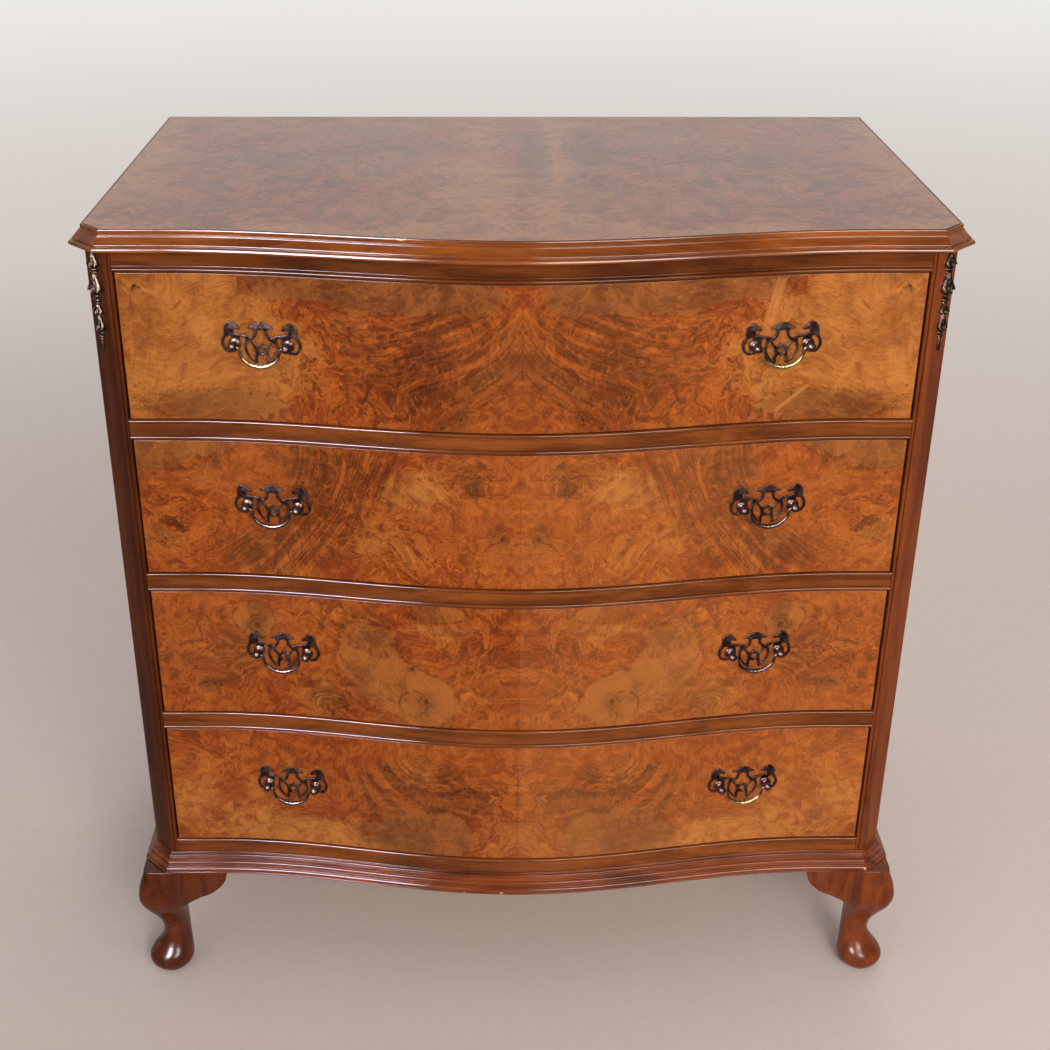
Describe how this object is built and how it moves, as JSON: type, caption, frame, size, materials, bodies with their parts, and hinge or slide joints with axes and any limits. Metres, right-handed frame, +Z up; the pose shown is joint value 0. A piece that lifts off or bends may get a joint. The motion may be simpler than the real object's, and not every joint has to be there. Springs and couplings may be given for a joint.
{
  "type": "chest of drawers",
  "caption": "Serpentine-front burr walnut chest of drawers with canted corners, pierced bail handles and short cabriole legs on pad feet.",
  "frame": {"origin": "centre of the overall footprint at floor level", "axes": "+Z up, the drawers open towards -Y, +X to the right of someone facing the front"},
  "size_m": [0.9576, 0.575, 0.984],
  "materials": {
    "burr_walnut_veneer": "polished burr walnut veneer, orange brown with dark knots, book-matched at the centre",
    "solid_walnut": "dark stained and polished solid walnut",
    "drawer_lining": "plain unpolished hardwood",
    "plywood": "bare plywood",
    "aged_brass": "bronzed cast brass, rubbed bright where it is held"
  },
  "bodies": {
    "case": {"back_panel": "plywood", "base_moulding": "solid_walnut", "bottom_board": "plywood", "bottom_rail": "solid_walnut", "corner_drop_left": "aged_brass", "corner_drop_right": "aged_brass", "corner_post_left": "solid_walnut", "corner_post_right": "solid_walnut", "drawer_rail_1": "solid_walnut", "drawer_rail_2": "solid_walnut", "drawer_rail_3": "solid_walnut", "dust_board_1": "plywood", "dust_board_2": "plywood", "dust_board_3": "plywood", "frieze_rail": "solid_walnut", "front_leg_left": "solid_walnut", "front_leg_right": "solid_walnut", "rear_leg_left": "solid_walnut", "rear_leg_right": "solid_walnut", "side_panel_left": "burr_walnut_veneer", "side_panel_right": "burr_walnut_veneer", "top_moulding": "solid_walnut", "top_panel": "burr_walnut_veneer"},
    "drawer_1": {"drawer_1_back": "drawer_lining", "drawer_1_bottom": "plywood", "drawer_1_front": "burr_walnut_veneer", "drawer_1_side_left": "drawer_lining", "drawer_1_side_right": "drawer_lining", "handle_plate_1_left": "aged_brass", "handle_plate_1_right": "aged_brass"},
    "drawer_2": {"drawer_2_back": "drawer_lining", "drawer_2_bottom": "plywood", "drawer_2_front": "burr_walnut_veneer", "drawer_2_side_left": "drawer_lining", "drawer_2_side_right": "drawer_lining", "handle_plate_2_left": "aged_brass", "handle_plate_2_right": "aged_brass"},
    "drawer_3": {"drawer_3_back": "drawer_lining", "drawer_3_bottom": "plywood", "drawer_3_front": "burr_walnut_veneer", "drawer_3_side_left": "drawer_lining", "drawer_3_side_right": "drawer_lining", "handle_plate_3_left": "aged_brass", "handle_plate_3_right": "aged_brass"},
    "drawer_4": {"drawer_4_back": "drawer_lining", "drawer_4_bottom": "plywood", "drawer_4_front": "burr_walnut_veneer", "drawer_4_side_left": "drawer_lining", "drawer_4_side_right": "drawer_lining", "handle_plate_4_left": "aged_brass", "handle_plate_4_right": "aged_brass"},
    "bail_1_left": {"handle_bail_1_left": "aged_brass"},
    "bail_1_right": {"handle_bail_1_right": "aged_brass"},
    "bail_2_left": {"handle_bail_2_left": "aged_brass"},
    "bail_2_right": {"handle_bail_2_right": "aged_brass"},
    "bail_3_left": {"handle_bail_3_left": "aged_brass"},
    "bail_3_right": {"handle_bail_3_right": "aged_brass"},
    "bail_4_left": {"handle_bail_4_left": "aged_brass"},
    "bail_4_right": {"handle_bail_4_right": "aged_brass"}
  },
  "joints": [
    {"name": "drawer_1_slide", "type": "slide", "parent": "case", "child": "drawer_1", "axis": [0, -1, 0], "range_m": [0, 0.34]},
    {"name": "bail_1_left_hinge", "type": "hinge", "parent": "drawer_1", "child": "bail_1_left", "pos_m": [-0.27483, -0.25026, 0.8622], "axis": [-0.9919, 0.1271, 0], "range_deg": [-15, 170]},
    {"name": "bail_1_right_hinge", "type": "hinge", "parent": "drawer_1", "child": "bail_1_right", "pos_m": [0.27483, -0.25026, 0.8622], "axis": [-0.9919, -0.1271, 0], "range_deg": [-15, 170]},
    {"name": "drawer_2_slide", "type": "slide", "parent": "case", "child": "drawer_2", "axis": [0, -1, 0], "range_m": [0, 0.34]},
    {"name": "bail_2_left_hinge", "type": "hinge", "parent": "drawer_2", "child": "bail_2_left", "pos_m": [-0.27483, -0.25026, 0.6729], "axis": [-0.9919, 0.1271, 0], "range_deg": [-15, 170]},
    {"name": "bail_2_right_hinge", "type": "hinge", "parent": "drawer_2", "child": "bail_2_right", "pos_m": [0.27483, -0.25026, 0.6729], "axis": [-0.9919, -0.1271, 0], "range_deg": [-15, 170]},
    {"name": "drawer_3_slide", "type": "slide", "parent": "case", "child": "drawer_3", "axis": [0, -1, 0], "range_m": [0, 0.34]},
    {"name": "bail_3_left_hinge", "type": "hinge", "parent": "drawer_3", "child": "bail_3_left", "pos_m": [-0.27483, -0.25026, 0.4836], "axis": [-0.9919, 0.1271, 0], "range_deg": [-15, 170]},
    {"name": "bail_3_right_hinge", "type": "hinge", "parent": "drawer_3", "child": "bail_3_right", "pos_m": [0.27483, -0.25026, 0.4836], "axis": [-0.9919, -0.1271, 0], "range_deg": [-15, 170]},
    {"name": "drawer_4_slide", "type": "slide", "parent": "case", "child": "drawer_4", "axis": [0, -1, 0], "range_m": [0, 0.34]},
    {"name": "bail_4_left_hinge", "type": "hinge", "parent": "drawer_4", "child": "bail_4_left", "pos_m": [-0.27483, -0.25026, 0.2943], "axis": [-0.9919, 0.1271, 0], "range_deg": [-15, 170]},
    {"name": "bail_4_right_hinge", "type": "hinge", "parent": "drawer_4", "child": "bail_4_right", "pos_m": [0.27483, -0.25026, 0.2943], "axis": [-0.9919, -0.1271, 0], "range_deg": [-15, 170]}
  ]
}
